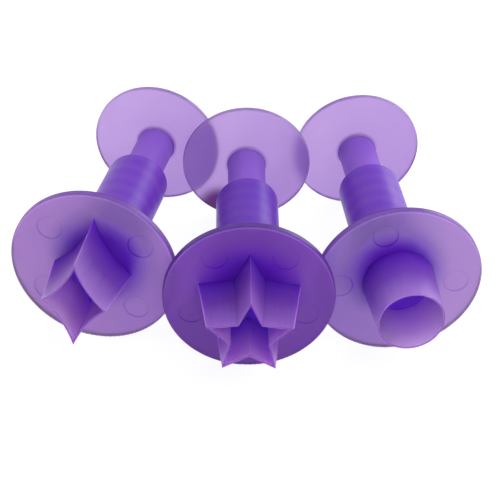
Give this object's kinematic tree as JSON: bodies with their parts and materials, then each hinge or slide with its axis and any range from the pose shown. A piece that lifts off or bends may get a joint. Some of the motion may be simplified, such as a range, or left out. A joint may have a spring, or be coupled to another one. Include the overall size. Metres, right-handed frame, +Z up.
{
  "type": "plunger cutter",
  "caption": "Set of sprung plunger cutters for sugar paste: shaped cutting walls on round flanges, each with a barrel, thumb disc and ejector foot.",
  "frame": {"origin": "on the table under the middle of the row of cutters, as they lie on their sides", "axes": "+X along the row from the diamond to the round cutter, -Y towards the cutting edges, +Z up"},
  "size_m": [0.1152, 0.0909, 0.0417],
  "materials": {
    "body_plastic": "frosted translucent purple",
    "plunger_plastic": "frosted translucent purple, paler where it is thin",
    "foot_plastic": "frosted translucent purple",
    "spring_steel": "drawn wire, satin"
  },
  "bodies": {
    "set": {"star_cutter_body": "body_plastic", "star_spring": "spring_steel", "diamond_plunger": "plunger_plastic", "diamond_ejector_foot": "foot_plastic", "diamond_spring": "spring_steel", "round_plunger": "plunger_plastic", "round_ejector_foot": "foot_plastic", "round_spring": "spring_steel"},
    "star_plunger_group": {"star_plunger": "plunger_plastic", "star_ejector_foot": "foot_plastic"},
    "diamond_body": {"diamond_cutter_body": "body_plastic"},
    "round_body": {"round_cutter_body": "body_plastic"}
  },
  "joints": [
    {"name": "star_plunger_slide", "type": "slide", "parent": "set", "child": "star_plunger_group", "axis": [0.0731, -0.9948, 0.0715], "range_m": [0, 0.0164], "stiffness_N_per_m": 250, "springref_m": -0.012, "deforming": ["star_spring"]},
    {"name": "diamond_body_slide", "type": "slide", "parent": "set", "child": "diamond_body", "axis": [0.1655, 0.9836, -0.0715], "range_m": [0, 0.0164], "stiffness_N_per_m": 250, "springref_m": -0.012, "deforming": ["diamond_spring"]},
    {"name": "round_body_slide", "type": "slide", "parent": "set", "child": "round_body", "axis": [-0.1937, 0.9784, -0.0715], "range_m": [0, 0.0164], "stiffness_N_per_m": 250, "springref_m": -0.012, "deforming": ["round_spring"]}
  ]
}
